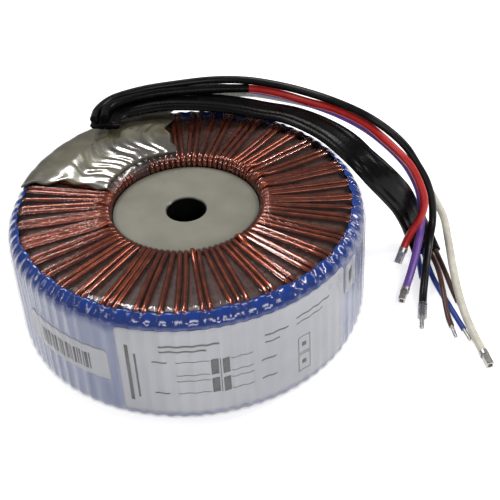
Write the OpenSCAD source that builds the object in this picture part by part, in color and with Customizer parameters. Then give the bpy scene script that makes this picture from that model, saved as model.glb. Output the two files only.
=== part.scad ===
// Potted toroidal transformer: strip-wound ring core, two primaries, two
// copper secondaries wound round the whole ring, blue outer band, clear
// overwrap, labels, potted centre with a bolt hole, and eight flying leads.
// Millimetres. +Z up, origin on the resting face at the centre of the bolt hole.

/* [Core] */
// outer diameter of the steel ring
core_od = 105.7; // [80:0.1:140]
// inner diameter of the steel ring
core_id = 60.4; // [50:0.1:70]
// height of the steel ring
core_h = 35; // [20:0.5:60]
// thickness of the film wound on the core
core_film = 0.3; // [0.1:0.05:1]

/* [Primary windings] */
// build of one primary layer in the bore
prim_in = 1.55; // [0.8:0.05:3]
// build of one primary layer on the outer wall
prim_out = 1.1; // [0.5:0.05:3]
// build of one primary layer on the end faces
prim_end = 0.85; // [0.4:0.05:3]

/* [Insulation between windings] */
// thickness in the bore
inter_in = 0.5; // [0.2:0.05:2]
// thickness on the outer wall
inter_out = 0.4; // [0.2:0.05:2]
// thickness on the end faces
inter_end = 0.4; // [0.2:0.05:2]

/* [Secondary windings] */
// diameter of the enamelled wire
wire_d = 1.8; // [0.8:0.05:3]
// side clearance of a strand to the films
wire_gap = 0.05; // [0.02:0.01:0.3]
// least space between strands in the bore
strand_gap = 0.06; // [0.02:0.01:0.5]
// arc of the ring that the strands cover
cover_deg = 346; // [200:1:350]
// plan angle of the first strand
start_deg = 136; // [0:1:360]
// how far strands draw together in threes at the rim
bunch_deg = 1.4; // [0:0.1:2]

/* [Outer films] */
// thickness of the blue band
band_t = 0.25; // [0.1:0.05:1]
// how far the blue band laps over the upper shoulder
band_lap_deg = 70; // [20:1:85]
// room between the blue band and the clear wrap
label_room = 0.2; // [0.15:0.05:1]
// thickness of the labels
label_t = 0.1; // [0.05:0.01:0.3]
// clear wrap thickness on the outer wall
wrap_side = 0.3; // [0.2:0.05:1]
// clear wrap thickness on the end faces
wrap_end = 0.6; // [0.3:0.05:1.5]
// clear wrap thickness in the bore
wrap_in = 0.35; // [0.2:0.05:1]
// height of the ridges that the strands raise in the wrap
ridge_h = 0.6; // [0.2:0.05:1]
// radius of the upper outer shoulder
shoulder_r = 6.6; // [3:0.1:9]
// radius of the lower outer shoulder
foot_r = 6; // [3:0.1:9]
// radius of the inner edges
inner_r = 3.4; // [3:0.1:5]
// least edge radius of the layers
least_r = 2; // [2:0.1:3]
// how much rounder the layers under the strands are at the outer edges
ease_r = 1.6; // [1.4:0.1:2]

/* [Potting] */
// diameter of the bolt hole
hole_d = 12.8; // [6:0.1:20]
// depth of the potting below the upper crest
potting_drop = 4.5; // [1:0.1:20]
// height of the potting above the resting face
potting_lift = 0.6; // [0.2:0.1:3]
// clearance of the potting to the clear wrap
potting_gap = 0.05; // [0.02:0.01:0.3]
// break on the rim of the bolt hole
hole_break = 0.6; // [0.2:0.1:2]

/* [Padding over the lead joints] */
// plan angle where the padding starts
pad_from = 98; // [60:1:130]
// plan angle where the padding ends
pad_to = 164; // [140:1:200]
// greatest thickness of the padding
pad_t = 3.3; // [1:0.1:6]
// thickness of the film over the padding
pad_film_t = 0.3; // [0.1:0.05:1]

/* [Labels] */
// width of the rating label round the wall
rating_w = 78; // [40:1:120]
// height of the rating label
rating_h = 34; // [10:0.5:40]
// height of the lower edge of the rating label
rating_z = 5.5; // [4:0.1:20]
// width of the bar label round the wall
bar_w = 34; // [10:1:60]
// height of the bar label
bar_h = 12; // [5:0.5:30]
// height of the lower edge of the bar label
bar_z = 16.5; // [4:0.1:30]
// width of the small label round the wall
small_w = 7.5; // [4:0.5:20]
// height of the small label
small_h = 11.5; // [4:0.5:30]
// height of the lower edge of the small label
small_z = 26; // [4:0.1:30]
// space between the rating label and the bar label
bar_space = 3.4; // [1:0.1:10]
// space between the rating label and the small label
small_space = 1.9; // [1:0.1:10]

/* [Leads] */
// diameter of a secondary lead
sec_lead_d = 2.8; // [1.5:0.1:5]
// diameter of a primary lead
pri_lead_d = 1.9; // [1:0.1:4]
// width of the flat sleeve over the primary leads
sleeve_w = 10.6; // [6:0.1:16]
// thickness of the flat sleeve
sleeve_t = 2.9; // [2:0.1:5]
// length of a crimped ferrule
ferrule_l = 6; // [3:0.1:12]
// length of a tinned end
tip_l = 5.5; // [2:0.1:12]
// length of the clear tube on the black lead
clear_l = 6; // [2:0.1:15]

/* [Thermal cut-outs] */
// width of a cut-out
cut_w = 5; // [3:0.1:7]
// height of a cut-out
cut_h = 9; // [5:0.5:14]
// thickness of a cut-out
cut_t = 1.6; // [1:0.1:1.7]

/* [Hidden] */
$fn = 96;
eps = 0.01;

// ---- layer offsets from the outermost surface: [bore, outer wall, ends]
off_wrap = [wrap_in, ridge_h + wrap_side, wrap_end];
off_band = off_wrap + [0, label_room, 0];
off_wire = [wrap_in + wire_gap, off_band[1] + band_t + wire_gap, wrap_end + wire_gap];
off_mid = off_wire + wire_d / 2 * [1, 1, 1];
off_inter = off_wire + (wire_d + wire_gap) * [1, 1, 1];
off_prim_2 = off_inter + [inter_in, inter_out, inter_end];
off_prim_1 = off_prim_2 + [prim_in, prim_out, prim_end];
off_film = off_prim_1 + [prim_in, prim_out, prim_end];
off_core = off_film + core_film * [1, 1, 1];

// ---- overall sizes, built outwards from the core
R_out = core_od / 2 + off_core[1];
R_bore = core_id / 2 - off_core[0];
H = core_h + 2 * off_core[2];
R_wire_in = R_bore + off_mid[0];
R_wire_out = R_out - off_mid[1];
Z_wire_lo = off_mid[2];
Z_wire_hi = H - off_mid[2];
potting_r = R_bore - potting_gap;

// ---- turns that fit side by side in the bore in one layer
turns = floor(cover_deg * PI / 180 * R_wire_in / (2 * (wire_d + strand_gap)));
adv = cover_deg / turns;
pitch = adv / 2;
function rim_shift(i) = (1 - (i % 3)) * bunch_deg;
function rim_angle(i) = start_deg + i * pitch + rim_shift(i);

// ---- section of the ring at an offset o = [bore, wall, ends]
function fil(c, o) = max(c - o, least_r);
function arc(cx, cz, rx, rz, a0, n = 6) =
    [for (k = [0:n]) let (a = a0 + 90 * k / n) [cx + rx * cos(a), cz + rz * sin(a)]];
function section(o) =
    let (ri = R_bore + o[0], ro = R_out - o[1], zl = o[2], zh = H - o[2],
         e = o[1] > off_mid[1] ? ease_r : 0,
         fx = fil(foot_r + e, o[1]), fz = fil(foot_r + e, o[2]),
         sx = fil(shoulder_r + e, o[1]), sz = fil(shoulder_r + e, o[2]),
         ix = fil(inner_r, o[0]), iz = fil(inner_r, o[2]))
    concat(arc(ro - fx, zl + fz, fx, fz, -90), arc(ro - sx, zh - sz, sx, sz, 0),
           arc(ri + ix, zh - iz, ix, iz, 90), arc(ri + ix, zl + iz, ix, iz, 180));
module ring_shell(outer, inner) {
    rotate_extrude() difference() {
        polygon(section(outer));
        polygon(section(inner));
    }
}

// ---- core and bulk layers
module core() { color([0.45, 0.46, 0.48]) rotate_extrude() polygon(section(off_core)); }
module core_film_wrap() { color([0.85, 0.83, 0.7]) ring_shell(off_film, off_core); }
module primary_1() { color([0.6, 0.27, 0.12]) ring_shell(off_prim_1, off_film); }
module primary_2() { color([0.66, 0.3, 0.14]) ring_shell(off_prim_2, off_prim_1); }
module inter_wrap() { color([0.75, 0.74, 0.68]) ring_shell(off_inter, off_prim_2); }

// ---- continuous secondaries: one wire swept round the ring, turn after turn
function polar(r, a) = [r * cos(a), r * sin(a), 0];
function unit(v) = v / norm(v);
// rings of one half turn, from over p to over q, at level z; s = 1 top, -1 bottom
function half_turn(p, q, z, s, cp, cq, np, nq) =
    let (d = unit(q - p), u = cross(d, [0, 0, s]), wz = wire_d / 2)
    concat([for (k = [0:np]) let (a = 90 * k / np)
            [p + d * cp[0] * (1 - cos(a)) + [0, 0, z - s * cp[1] * (1 - sin(a))],
             u, -cos(a) * d + [0, 0, s * sin(a)]]],
           [for (k = [0:nq]) let (a = 90 - 90 * k / nq)
            [q - d * cq[0] * (1 - cos(a)) + [0, 0, z - s * cq[1] * (1 - sin(a))],
             u, cos(a) * d + [0, 0, s * sin(a)]]]);
c_top_out = [fil(shoulder_r, off_mid[1]), fil(shoulder_r, off_mid[2])];
c_low_out = 0.72 * [fil(foot_r, off_mid[1]), fil(foot_r, off_mid[2])];
c_top_in = [max(inner_r - off_mid[0], wire_d), max(inner_r - off_mid[2], wire_d)];
c_low_in = [wire_d, wire_d];
function winding_rings(w) = concat(
    [let (p = polar(R_wire_out, rim_angle(w)), d = -unit(p))
        [p + [0, 0, H / 2], cross(d, [0, 0, 1]), -d]],
    [for (t = [0:turns - 1]) let (i = 2 * t + w,
            a = polar(R_wire_out, rim_angle(i)), b = polar(R_wire_in, start_deg + i * pitch),
            c = polar(R_wire_out, rim_angle(i + 2)))
        each concat(half_turn(a, b, Z_wire_hi, 1, c_top_out, c_top_in, 2, 2),
                    half_turn(b, c, Z_wire_lo, -1, c_low_in, c_low_out, 1, 1))],
    [let (p = polar(R_wire_out, rim_angle(2 * turns + w)), d = -unit(p))
        [p + [0, 0, H - 12], cross(d, [0, 0, 1]), -d]]);
function ring_pts(rg, r, n) = [for (g = rg) for (k = [0:n - 1])
    g[0] + r * (cos(360 * k / n) * g[1] + sin(360 * k / n) * g[2])];
// faces of a closed tube of m rings with n corners each
function tube_faces(m, n) = concat(
    [[for (k = [0:n - 1]) k]],
    [for (i = [0:m - 2]) for (k = [0:n - 1]) let (a = i * n + k, b = i * n + (k + 1) % n)
        each [[a, a + n, b], [b, a + n, b + n]]],
    [[for (k = [0:n - 1]) m * n - 1 - k]]);
module winding(w) {
    rg = winding_rings(w);
    polyhedron(ring_pts(rg, wire_d / 2, 6), tube_faces(len(rg), 6), convexity = 10);
}
module secondary_1() { color([0.62, 0.22, 0.1]) winding(0); }
module secondary_2() { color([0.68, 0.26, 0.12]) winding(1); }

// ---- thermal cut-outs in the lane that the strands leave free
lane_deg = (rim_angle(2 * turns + 1) + start_deg + 360) / 2 + bunch_deg / 2;
module thermal_cutouts() {
    color([0.12, 0.12, 0.13])
    for (z = [H / 2 - cut_h - 2, H / 2 + 2])
        rotate([0, 0, lane_deg])
        translate([R_out - off_inter[1] + 0.02, -cut_w / 2, z]) cube([cut_t, cut_w, cut_h]);
}

// ---- blue band round the wall, lapped over both shoulders
edge_room = 0.05;
module blue_band() {
    bt = off_band[1];
    zo = H - shoulder_r;
    so = shoulder_r - bt;
    fo = foot_r - bt;
    color([0.08, 0.22, 0.6]) rotate_extrude() polygon(concat(
        [for (k = [0:6]) let (a = -band_lap_deg * (1 - k / 6))
            [R_out - foot_r + fo * cos(a), foot_r + (foot_r - off_wrap[2] - edge_room) * sin(a)]],
        [for (k = [0:6]) let (a = band_lap_deg * k / 6)
            [R_out - shoulder_r + so * cos(a), zo + (shoulder_r - off_wrap[2] - edge_room) * sin(a)]],
        [for (k = [6:-1:0]) let (a = band_lap_deg * k / 6)
            [R_out - shoulder_r + (so - band_t) * cos(a), zo + (shoulder_r - off_wrap[2] - 0.02 - band_t) * sin(a)]],
        [for (k = [6:-1:0]) let (a = -band_lap_deg * (1 - k / 6))
            [R_out - foot_r + (fo - band_t) * cos(a), foot_r + (foot_r - off_wrap[2] - 0.02 - band_t) * sin(a)]]));
}

// ---- labels between the blue band and the clear wrap; they follow the wall
// up over the shoulder and down over the foot
label_r = R_out - off_band[1] + 0.02;
function span(w) = w / label_r * 180 / PI;
function wall_x(z, t) =   // radius of a label's face, t out from its back, at height z
    z > H - shoulder_r ? round_x(z - H + shoulder_r, shoulder_r, t) :
    z < foot_r ? round_x(foot_r - z, foot_r, t) : label_r + t;
function round_x(dz, r, t) =
    R_out - r + (label_r + t - R_out + r) * sqrt(1 - pow(dz / (r - off_wrap[2]), 2));
function levels(z, top) = concat(   // heights of a label's profile, close together on the rounds
    z < foot_r ? [for (k = [0:4]) z + (min(foot_r, top) - z) * k / 5] : [],
    [max(z, foot_r), min(top, H - shoulder_r)],
    top > H - shoulder_r ? [for (k = [1:5]) H - shoulder_r + (top - H + shoulder_r) * k / 5] : []);
module wall_label(a0, w, z, h) {
    L = levels(z, z + h);
    n = len(L) - 1;
    rotate([0, 0, a0]) rotate_extrude(angle = span(w)) polygon(concat(
        [for (k = [0:n]) [wall_x(L[k], 0), L[k]]],
        [for (k = [n:-1:0]) [wall_x(L[k], label_t), L[k]]]));
}
rating_a = -111;
bar_a = rating_a - span(bar_space) - span(bar_w);
small_a = rating_a + span(rating_w) + span(small_space);
module rating_label() { color([0.85, 0.85, 0.87]) wall_label(rating_a, rating_w, rating_z, rating_h); }
module bar_label() { color([0.88, 0.88, 0.88]) wall_label(bar_a, bar_w, bar_z, bar_h); }
module small_label() { color([0.88, 0.88, 0.88]) wall_label(small_a, small_w, small_z, small_h); }

// ---- clear wrap: closed skin over everything
module clear_wrap() { color([0.8, 0.85, 0.95, 0.5]) ring_shell([0, ridge_h, 0], off_wrap); }

// ---- potting that fills the centre, with the bolt hole
module potting() {
    color([0.63, 0.63, 0.56]) rotate_extrude() polygon([
        [hole_d / 2, potting_lift + hole_break], [hole_d / 2 + hole_break, potting_lift],
        [potting_r - inner_r, potting_lift], [potting_r, potting_lift + inner_r],
        [potting_r, H - potting_drop], [hole_d / 2 + hole_break, H - potting_drop],
        [hole_d / 2, H - potting_drop - hole_break]]);
}

// ---- padding over the lead joints, on the upper rear left of the ring
function crest(u) =   // point and normal on the upper surface, u = 0 inner edge, 1 wall
    let (l1 = R_out - shoulder_r - R_bore - inner_r, l2 = shoulder_r * 70 * PI / 180,
         s = u * (l1 + l2))
    s < l1 ? [[R_bore + inner_r + s, H], [0, 1]]
           : let (a = 90 - (s - l1) / shoulder_r * 180 / PI)
             [[R_out - shoulder_r + shoulder_r * cos(a), H - shoulder_r + shoulder_r * sin(a)],
              [cos(a), sin(a)]];
function swell(u, v) = max(0.15, pow(sin(180 * v), 0.6))
    * (u < 0.55 ? 0.28 + 0.72 * u / 0.55 : 1 - 0.85 * (u - 0.55) / 0.45);
pad_nu = 9;
pad_nv = 12;
function pad_pt(i, j, lift, k) =
    let (u = i / pad_nu, v = j / pad_nv, c = crest(u), a = pad_from + (pad_to - pad_from) * v,
         q = c[0] + c[1] * (lift + k * pad_t * swell(u, v)))
    [q[0] * cos(a), q[0] * sin(a), q[1]];
module pad_slab(lift0, k0, lift1, k1) {
    n = (pad_nu + 1) * (pad_nv + 1);
    function id(i, j, s) = s * n + i * (pad_nv + 1) + j;
    polyhedron(concat(
        [for (i = [0:pad_nu]) for (j = [0:pad_nv]) pad_pt(i, j, lift0, k0)],
        [for (i = [0:pad_nu]) for (j = [0:pad_nv]) pad_pt(i, j, lift1, k1)]),
        concat(
        [for (i = [0:pad_nu - 1]) for (j = [0:pad_nv - 1])
            each [[id(i, j, 0), id(i + 1, j, 0), id(i + 1, j + 1, 0)], [id(i, j, 0), id(i + 1, j + 1, 0), id(i, j + 1, 0)],
                  [id(i, j, 1), id(i + 1, j + 1, 1), id(i + 1, j, 1)], [id(i, j, 1), id(i, j + 1, 1), id(i + 1, j + 1, 1)]]],
        [for (i = [0:pad_nu - 1]) each
            [[id(i, 0, 0), id(i, 0, 1), id(i + 1, 0, 1)], [id(i, 0, 0), id(i + 1, 0, 1), id(i + 1, 0, 0)],
             [id(i, pad_nv, 0), id(i + 1, pad_nv, 1), id(i, pad_nv, 1)], [id(i, pad_nv, 0), id(i + 1, pad_nv, 0), id(i + 1, pad_nv, 1)]]],
        [for (j = [0:pad_nv - 1]) each
            [[id(0, j, 0), id(0, j + 1, 1), id(0, j, 1)], [id(0, j, 0), id(0, j + 1, 0), id(0, j + 1, 1)],
             [id(pad_nu, j, 0), id(pad_nu, j, 1), id(pad_nu, j + 1, 1)], [id(pad_nu, j, 0), id(pad_nu, j + 1, 1), id(pad_nu, j + 1, 0)]]]),
        convexity = 6);
}
module lead_pad() { color([0.55, 0.56, 0.38]) pad_slab(0.32, 0, 0.32, 1); }
module pad_film() { color([0.8, 0.85, 0.95, 0.5]) pad_slab(0.37, 1, 0.37 + pad_film_t, 1); }

// ---- routes of the leads
route_sleeve = [[-28, 37.5, 50.2], [-27, 43.5, 50.2], [-22, 48.2, 50], [-12, 51.6, 49.8],
    [-2, 52.8, 49.2], [9, 52.5, 48.2], [19, 51, 47.2], [28, 48, 46.5], [36.5, 44.5, 46.4],
    [44, 38.5, 46.4], [50.5, 31, 46.4], [55.5, 24, 45.6], [60, 18.5, 43.2], [65, 16.3, 38.2],
    [70, 17.2, 31.5], [74.5, 20.4, 23.5], [78.2, 23.5, 14.5], [80.8, 25, 8], [82.6, 24.2, 3.8],
    [83.6, 21.5, 1.9], [84, 18.5, 1.55]];
side_sleeve = [[-1, 0, 0], [-1, 0.3, 0], [-0.5, 0.9, 0], [-0.2, 1, 0],
    [0, 1, 0], [0.15, 1, 0], [0.35, 1, 0], [0.5, 0.9, 0], [0.6, 0.8, 0],
    [0.75, 0.65, 0.05], [0.8, 0.5, 0.1], [0.8, 0.6, 0.2], [0.7, 0.6, 0.2], [0.8, 0.5, 0.3],
    [0.9, 0.4, 0.3], [0.8, 0.6, 0.2], [0.75, 0.65, 0.1], [0.85, 0.5, 0.1], [0.9, 0.35, 0.05],
    [0.95, 0.25, 0], [0.95, 0.15, 0]];
route_black = [[-31.5, 37.5, 53.2], [-30.5, 44, 53.2], [-25.5, 50.5, 53.5], [-15, 55.5, 53.5],
    [-3, 58, 53.5], [10, 59.5, 53.5], [22, 58, 53.5], [33, 53.5, 53.5], [43, 47.5, 53.5],
    [53, 40.5, 53], [62.5, 34.5, 50.8], [70.5, 31.2, 46], [76.5, 29.5, 40], [80.5, 28, 33.5],
    [83.8, 26, 27.5], [85.8, 24, 20.5], [86, 21, 13.5], [84.2, 15.5, 8.5], [82, 7, 5.5],
    [80, -1.5, 3.6], [78.9, -6.5, 2.5], [78.1, -10.8, 2.15]];
route_red = [[-28, 38, 53.3], [-27, 44.5, 53.2], [-21, 49.3, 53], [-11, 53.2, 52.7], [0, 55.5, 52],
    [12, 57.3, 51], [23, 57, 50.6], [33, 53, 50.5], [43, 46.5, 50.3], [53, 40.5, 49.9],
    [62.5, 34.5, 47.4], [69.5, 28.8, 43.2], [74.6, 26, 38.8], [78, 25, 34.5], [81, 23, 28.5],
    [82.6, 21, 22.5], [81.3, 18.8, 17.2], [78.4, 17.9, 12], [76.6, 17.2, 8.4], [75.3, 15.7, 6]];
route_violet = [[-28.8, 49.8, 46.4], [-23, 54.5, 47.3], [-14, 59.8, 48.3], [-3, 62.5, 48.5],
    [10, 62.7, 48.3], [22, 60.2, 48.3], [33, 55.7, 48.2], [43, 49.5, 48], [53.5, 42, 47.3],
    [62.5, 36.5, 44.4], [69.5, 32, 40.2], [75.5, 29, 34.5], [79.2, 27.6, 28.5], [81.3, 25.3, 23.4],
    [82.2, 22.4, 17.4], [81.4, 18.8, 10.6], [78.9, 11.5, 6.2], [76.6, 5.6, 3.7], [74.8, 1.3, 2.4],
    [73.5, -2, 2]];
route_white = [[-17, 55.2, 46.2], [-9, 59.2, 45.6], [0, 61.6, 45.2], [12, 63.5, 45.2],
    [24, 62.2, 45.4], [35, 57.5, 45.5], [45.5, 51.5, 45.8], [56, 47.5, 44.5], [63, 44.3, 41.8],
    [69.5, 41, 37.5], [75.5, 38, 32], [80.5, 35.8, 26.5], [85, 34.3, 20.5], [88.7, 31.5, 14.5],
    [91.3, 27, 9.8], [91.5, 17, 6.8], [91, 5, 5], [90.8, -8, 3.8], [91.3, -18, 3],
    [92.5, -27, 2.3], [94, -35, 1.8]];
route_brown_1 = [[85.1, 18.3, 1.55], [86, 11, 2.4], [86.1, 3, 3.6], [85.8, -5, 3.9],
    [85.7, -12, 2.6], [85.8, -17, 1.4], [86.2, -21.3, 1.15]];
route_brown_2 = [[87.4, 18.6, 1.55], [88.2, 13, 1.2], [89, 6, 1], [89.7, -2, 1], [90.5, -9, 1]];
route_blue_1 = [[83, 18, 1.55], [83.5, 11, 1.2], [84.2, 4, 1], [85.5, -3, 1], [87.5, -12, 1],
    [90, -23, 1]];
route_blue_2 = [[80.7, 17.7, 1.55], [80.6, 13, 1.2], [80.4, 9, 1], [80.2, 4.5, 1]];

// ---- smooth curve through route points, n steps a stretch
function cr(a, b, c, d, t) = 0.5 * (2 * b + (c - a) * t + (2 * a - 5 * b + 4 * c - d) * t * t
    + (3 * b - a - 3 * c + d) * t * t * t);
function at(P, i) = i < 0 ? 2 * P[0] - P[1] : i > len(P) - 1 ? 2 * P[len(P) - 1] - P[len(P) - 2] : P[i];
function smooth(P, n) = concat(
    [for (i = [0:len(P) - 2]) for (j = [0:n - 1]) cr(at(P, i - 1), P[i], P[i + 1], at(P, i + 2), j / n)],
    [P[len(P) - 1]]);
function heading(P, i) = unit(P[min(i + 1, len(P) - 1)] - P[max(i - 1, 0)]);
function square_to(u, t) = unit(u - (u * t) * t);
function carried(P, i, u) = i > len(P) - 1 ? [] :
    let (t = heading(P, i), v = square_to(u, t)) concat([[P[i], v, cross(t, v)]], carried(P, i + 1, v));
module lead(route, d, n = 2) {
    P = smooth(route, n);
    rg = carried(P, 0, square_to([0.3, 0.2, 1], heading(P, 0)));
    polyhedron([for (g = rg) for (k = [0:7]) g[0] + d / 2 * (cos(45 * k) * g[1] + sin(45 * k) * g[2])],
        [for (f = tube_faces(len(rg), 8)) [for (k = [len(f) - 1:-1:0]) f[k]]], convexity = 8);
}
// end frame of a lead, for the pieces that sit on it
module at_end(route, n = 2) {
    P = smooth(route, n);
    e = P[len(P) - 1];
    t = heading(P, len(P) - 1);
    translate(e) rotate([0, acos(t[2]), atan2(t[1], t[0])]) children();
}

module primary_sleeve() {
    P = smooth(route_sleeve, 2);
    S = smooth(side_sleeve, 2);
    w = sleeve_w / 2 - sleeve_t / 2;
    h = sleeve_t / 2;
    prof = [[w, -h], [w + 0.7 * h, -0.7 * h], [w + h, 0], [w + 0.7 * h, 0.7 * h], [w, h],
            [-w, h], [-w - 0.7 * h, 0.7 * h], [-w - h, 0], [-w - 0.7 * h, -0.7 * h], [-w, -h]];
    color([0.05, 0.05, 0.06]) polyhedron(
        [for (i = [0:len(P) - 1]) let (t = heading(P, i), s = square_to(S[i], t), m = cross(t, s))
            each [for (q = prof) P[i] + q[0] * s + q[1] * m]],
        [for (f = tube_faces(len(P), 10)) [for (k = [len(f) - 1:-1:0]) f[k]]], convexity = 8);
}
module lead_black() { color([0.05, 0.05, 0.06]) lead(route_black, sec_lead_d); }
module lead_red() { color([0.72, 0.08, 0.08]) lead(route_red, sec_lead_d); }
module lead_violet() { color([0.42, 0.26, 0.62]) lead(route_violet, sec_lead_d); }
module lead_white() { color([0.84, 0.82, 0.76]) lead(route_white, sec_lead_d); }
module lead_brown_1() { color([0.24, 0.1, 0.06]) lead(route_brown_1, pri_lead_d); }
module lead_brown_2() { color([0.24, 0.1, 0.06]) lead(route_brown_2, pri_lead_d); }
module lead_blue_1() { color([0.06, 0.2, 0.62]) lead(route_blue_1, pri_lead_d); }
module lead_blue_2() { color([0.06, 0.2, 0.62]) lead(route_blue_2, pri_lead_d); }

// ---- crimped ferrule: collar, then a four-sided crimp with an open end
module ferrule() {
    collar = 1.6;
    difference() {
        union() {
            cylinder(d = sec_lead_d + 0.4, h = collar);
            translate([0, 0, collar]) rotate([0, 0, 45])
                cylinder(d = sec_lead_d * 1.12, h = ferrule_l - collar, $fn = 4);
        }
        translate([0, 0, ferrule_l - 1]) cylinder(d = sec_lead_d * 0.55, h = 2, $fn = 24);
    }
}
module ferrule_red() { color([0.6, 0.6, 0.6]) at_end(route_red) ferrule(); }
module ferrule_violet() { color([0.6, 0.6, 0.6]) at_end(route_violet) ferrule(); }
module ferrule_white() { color([0.6, 0.6, 0.6]) at_end(route_white) ferrule(); }

// ---- clear tube and tinned end of the black lead
black_core = sec_lead_d * 0.58;
module clear_tube() {
    color([0.8, 0.82, 0.85, 0.6]) at_end(route_black) difference() {
        cylinder(d = sec_lead_d + 0.5, h = clear_l, $fn = 32);
        translate([0, 0, -1]) cylinder(d = black_core + 0.1, h = clear_l + 2, $fn = 32);
    }
}
module tinned_end(d, l) {
    cylinder(d = d, h = l - d / 4, $fn = 24);
    translate([0, 0, l - d / 4]) cylinder(d1 = d, d2 = d / 2, h = d / 4, $fn = 24);
}
module tinned_tip_black() { color([0.75, 0.75, 0.75]) at_end(route_black) tinned_end(black_core, clear_l + tip_l); }
module tinned_tips() {
    color([0.6, 0.6, 0.62]) {
        at_end(route_brown_1) tinned_end(pri_lead_d * 0.68, tip_l);
        at_end(route_brown_2) tinned_end(pri_lead_d * 0.68, tip_l);
        at_end(route_blue_1) tinned_end(pri_lead_d * 0.68, tip_l);
        at_end(route_blue_2) tinned_end(pri_lead_d * 0.68, tip_l);
    }
}

core();
core_film_wrap();
primary_1();
primary_2();
inter_wrap();
secondary_1();
secondary_2();
thermal_cutouts();
blue_band();
rating_label();
bar_label();
small_label();
clear_wrap();
potting();
lead_pad();
pad_film();
primary_sleeve();
lead_black();
lead_red();
lead_violet();
lead_white();
lead_brown_1();
lead_brown_2();
lead_blue_1();
lead_blue_2();
ferrule_red();
ferrule_violet();
ferrule_white();
clear_tube();
tinned_tip_black();
tinned_tips();
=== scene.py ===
"""Looks of a potted ring transformer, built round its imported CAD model.

Every length in the classes is in millimetres; meshes are handed over in metres.
"""

from __future__ import annotations

import logging
import math
from collections.abc import Sequence
from dataclasses import dataclass, field
from enum import Enum

import bmesh
import bpy
import numpy as np
from mathutils import Matrix, Vector

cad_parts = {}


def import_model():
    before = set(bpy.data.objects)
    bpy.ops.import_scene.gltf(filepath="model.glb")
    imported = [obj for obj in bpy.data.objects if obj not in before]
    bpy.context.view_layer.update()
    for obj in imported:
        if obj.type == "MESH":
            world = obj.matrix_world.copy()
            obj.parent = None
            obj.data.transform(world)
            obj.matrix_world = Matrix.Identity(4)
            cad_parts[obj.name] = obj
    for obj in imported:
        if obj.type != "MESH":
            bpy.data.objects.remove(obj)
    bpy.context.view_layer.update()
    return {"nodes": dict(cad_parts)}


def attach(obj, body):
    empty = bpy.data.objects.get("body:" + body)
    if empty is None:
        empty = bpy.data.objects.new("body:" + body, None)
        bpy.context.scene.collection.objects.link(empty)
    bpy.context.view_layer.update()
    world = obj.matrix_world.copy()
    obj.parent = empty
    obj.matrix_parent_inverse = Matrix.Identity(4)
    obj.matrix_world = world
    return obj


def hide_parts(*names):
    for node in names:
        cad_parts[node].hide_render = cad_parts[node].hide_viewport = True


LOG = logging.getLogger("ring_transformer")
MM = 0.001
COAT_ROUGHNESS = 0.08
FINE_RELIEF = 0.0002
FILM_RELIEF = 0.0003
Colour = tuple[float, float, float]
Point = tuple[float, float, float]
Mark = tuple[float, float, float, float]


# ---------------------------------------------------------------- finishes
class Grain(Enum):
    """How a finish's pattern is stretched: even, or long along one axis."""

    EVEN = (1.0, 1.0, 1.0)
    UPRIGHT = (1.0, 1.0, 0.12)


class Tree:
    """A material's nodes, with short ways to add, feed and mix them."""

    def __init__(self, material: bpy.types.Material) -> None:
        """Takes the material whose nodes are to be worked on.

        Args:
            material: a new material, or one that a finish has made.
        """
        material.use_nodes = True
        self.material = material
        self.nodes = material.node_tree.nodes
        self.shader = self.nodes["Principled BSDF"]

    def feed(self, node: bpy.types.Node, values: dict) -> None:
        """Fills a node's inputs.

        Args:
            node: the node.
            values: for each input's name or number, a socket to join or a constant to set.
        """
        for key, value in values.items():
            if isinstance(value, bpy.types.NodeSocket):
                self.material.node_tree.links.new(value, node.inputs[key])
            else:
                node.inputs[key].default_value = value

    def add(self, kind: str, values: dict | None = None, **settings: str) -> bpy.types.Node:
        """Adds one node.

        Args:
            kind: its type, without the ShaderNode in front.
            values: what its inputs get, as in feed.
            settings: its own properties.

        Returns:
            The node.
        """
        node = self.nodes.new("ShaderNode" + kind)
        for key, value in settings.items():
            setattr(node, key, value)
        self.feed(node, values or {})
        return node

    def place(self) -> bpy.types.NodeSocket:
        """The object's own coordinates, from the node that a finish has added."""
        return self.nodes["Texture Coordinate"].outputs["Object"]

    def ramp(self, source: bpy.types.NodeSocket, *stops: tuple[float, Colour]) -> bpy.types.NodeSocket:
        """Adds a colour ramp.

        Args:
            source: the value that runs along it.
            stops: place and colour of each stop, two or more.

        Returns:
            The ramp's colour.
        """
        node = self.add("ValToRGB", {"Fac": source})
        elements = node.color_ramp.elements
        for k, (place, colour) in enumerate(stops):
            stop = elements[k] if k < 2 else elements.new(place)
            stop.position, stop.color = place, (*colour, 1)
        return node.outputs["Color"]

    def mix_base(self, share: float | bpy.types.NodeSocket, colour: tuple | bpy.types.NodeSocket,
                 blend: str = "MIX") -> None:
        """Mixes a second colour into the shader's base colour.

        Args:
            share: how much of it, as a number or a socket.
            colour: the second colour, with its alpha, or a socket.
            blend: how the two are blended.
        """
        old = self.shader.inputs["Base Color"].links[0].from_socket
        mix = self.add("Mix", {"Factor": share, "A": old, "B": colour}, data_type="RGBA", blend_type=blend)
        self.feed(self.shader, {"Base Color": mix.outputs["Result"]})


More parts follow.
